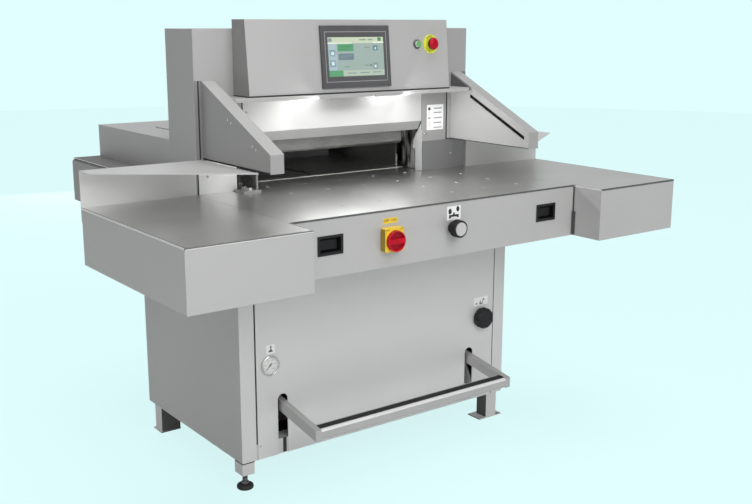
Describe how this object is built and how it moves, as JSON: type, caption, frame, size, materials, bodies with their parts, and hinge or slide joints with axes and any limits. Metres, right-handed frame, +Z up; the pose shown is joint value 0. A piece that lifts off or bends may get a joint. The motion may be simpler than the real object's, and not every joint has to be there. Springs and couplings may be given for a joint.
{
  "type": "electric paper cutter",
  "caption": "Free-standing electric paper guillotine with a wide front table, side wings, light curtain arms, touch screen console and foot pedal.",
  "frame": {"origin": "on the floor, below the centre of the machine's overall box", "axes": "+X to the operator's right, +Y from the operator to the machine's rear, +Z up"},
  "size_m": [1.8, 1.411, 1.405],
  "materials": {
    "silver_paint": "silver-grey powder coat",
    "frame_paint": "silver-grey powder coat",
    "motor_paint": "dark grey machine paint",
    "table_steel": "fine brushed stainless sheet",
    "fence_steel": "fine brushed stainless sheet",
    "pedal_steel": "satin stainless",
    "nozzle_steel": "turned steel",
    "machined_steel": "ground steel with a film of oil",
    "blade_steel": "ground tool steel",
    "gauge_metal": "dull anodised aluminium",
    "bright_steel": "bright zinc plate",
    "gauge_case": "satin bright ring with a white dial",
    "bed_iron": "machined grey iron",
    "frame_iron": "dark painted iron",
    "bezel_plastic": "fine matte dark grey",
    "black_plastic": "fine matte black",
    "black_cap": "smooth black",
    "yellow_plastic": "smooth signal yellow",
    "red_plastic": "smooth signal red",
    "green_plastic": "smooth green lens",
    "lamp_lens": "milky light strip",
    "stick_plastic": "pale cutting plastic",
    "black_rubber": "ribbed black rubber",
    "screen_glass": "lit screen under smooth glass",
    "clear_glass": "clear flat glass"
  },
  "bodies": {
    "machine": {"base_frame": "frame_paint", "levelling_foot": "black_rubber", "cabinet_sides": "silver_paint", "front_panel": "silver_paint", "rear_panel": "silver_paint", "cable_gland": "black_plastic", "table_bed": "bed_iron", "cutting_stick": "stick_plastic", "centre_table_top": "table_steel", "air_nozzles": "nozzle_steel", "wing_tops": "table_steel", "wing_skirts": "silver_paint", "apron": "silver_paint", "cut_button_housings": "black_plastic", "main_switch": "yellow_plastic", "side_frames": "frame_iron", "head_beam": "frame_iron", "yoke_covers": "silver_paint", "guard_panel": "silver_paint", "jamb_panels": "silver_paint", "sill": "silver_paint", "lamps": "lamp_lens", "console_housing": "silver_paint", "screen_bezel": "bezel_plastic", "screen_glass": "screen_glass", "button_collars": "yellow_plastic", "arm_covers": "silver_paint", "light_curtain_bars": "black_cap", "side_fences": "silver_paint", "inner_fences": "fence_steel", "side_guide": "fence_steel", "cylinders": "machined_steel", "rear_table": "table_steel", "gauge_motor": "motor_paint", "rear_tray": "silver_paint", "rear_cover": "silver_paint", "lid_hinge_pins": "bright_steel", "oil_tank": "motor_paint", "pump_motor": "motor_paint", "air_blower": "motor_paint", "pressure_gauge": "gauge_case", "gauge_glass": "clear_glass", "pedal_brackets": "frame_paint", "cover_screws": "bright_steel"},
    "knife": {"knife_blade": "blade_steel", "knife_carrier": "machined_steel"},
    "clamp": {"clamp_beam": "machined_steel"},
    "gauge": {"back_gauge": "gauge_metal"},
    "screw": {"lead_screw": "blade_steel"},
    "lid": {"rear_lid": "silver_paint"},
    "pedal": {"pedal_frame": "pedal_steel", "pedal_tread": "black_rubber"},
    "switch": {"switch_knob": "red_plastic"},
    "left_cut_button": {"cut_button_left": "black_cap"},
    "right_cut_button": {"cut_button_right": "black_cap"},
    "wheel": {"handwheel": "black_plastic"},
    "knob": {"pressure_knob": "black_plastic"},
    "needle": {"gauge_needle": "black_cap"},
    "stop": {"stop_button": "red_plastic"},
    "start": {"start_button": "green_plastic"}
  },
  "joints": [
    {"name": "knife_slide", "type": "slide", "parent": "machine", "child": "knife", "axis": [-0.342, 0, -0.9397], "range_m": [0, 0.1135]},
    {"name": "clamp_slide", "type": "slide", "parent": "machine", "child": "clamp", "axis": [0, 0, -1], "range_m": [0, 0.094]},
    {"name": "gauge_slide", "type": "slide", "parent": "machine", "child": "gauge", "axis": [0, -1, 0], "range_m": [0, 0.378]},
    {"name": "screw_spin", "type": "hinge", "parent": "machine", "child": "screw", "pos_m": [-0.021, 0.34, 0.832], "axis": [0, 1, 0], "continuous": true},
    {"name": "lid_hinge", "type": "hinge", "parent": "machine", "child": "lid", "pos_m": [0, 0.1405, 1.043], "axis": [1, 0, 0], "range_deg": [0, 80]},
    {"name": "pedal_hinge", "type": "hinge", "parent": "machine", "child": "pedal", "pos_m": [0, -0.1855, 0.266], "axis": [1, 0, 0], "range_deg": [0, 8], "stiffness_Nm_per_rad": 80, "springref_deg": -20.05},
    {"name": "switch_turn", "type": "hinge", "parent": "machine", "child": "switch", "pos_m": [-0.209, -0.62, 0.799], "axis": [0, 1, 0], "range_deg": [0, 90]},
    {"name": "cut_press_left", "type": "slide", "parent": "machine", "child": "left_cut_button", "axis": [0, 1, 0], "range_m": [0, 0.004], "stiffness_N_per_m": 300, "springref_m": -0.004},
    {"name": "cut_press_right", "type": "slide", "parent": "machine", "child": "right_cut_button", "axis": [0, 1, 0], "range_m": [0, 0.004], "stiffness_N_per_m": 300, "springref_m": -0.004},
    {"name": "wheel_spin", "type": "hinge", "parent": "machine", "child": "wheel", "pos_m": [0.022, -0.61, 0.807], "axis": [0, -1, 0], "continuous": true},
    {"name": "knob_turn", "type": "hinge", "parent": "machine", "child": "knob", "pos_m": [0.426, -0.3, 0.388], "axis": [0, -1, 0], "range_deg": [-135, 135]},
    {"name": "needle_turn", "type": "hinge", "parent": "machine", "child": "needle", "pos_m": [-0.432, -0.29, 0.386], "axis": [0, 1, 0], "range_deg": [0, 270]},
    {"name": "stop_press", "type": "slide", "parent": "machine", "child": "stop", "axis": [0, 0.9956, -0.0941], "range_m": [0, 0.005]},
    {"name": "start_press", "type": "slide", "parent": "machine", "child": "start", "axis": [0, 0.9956, -0.0941], "range_m": [0, 0.003], "stiffness_N_per_m": 300, "springref_m": -0.003}
  ],
  "couplings": [
    {"joint": "screw_spin", "follows": "gauge_slide", "rad_per_m": 628.32}
  ]
}
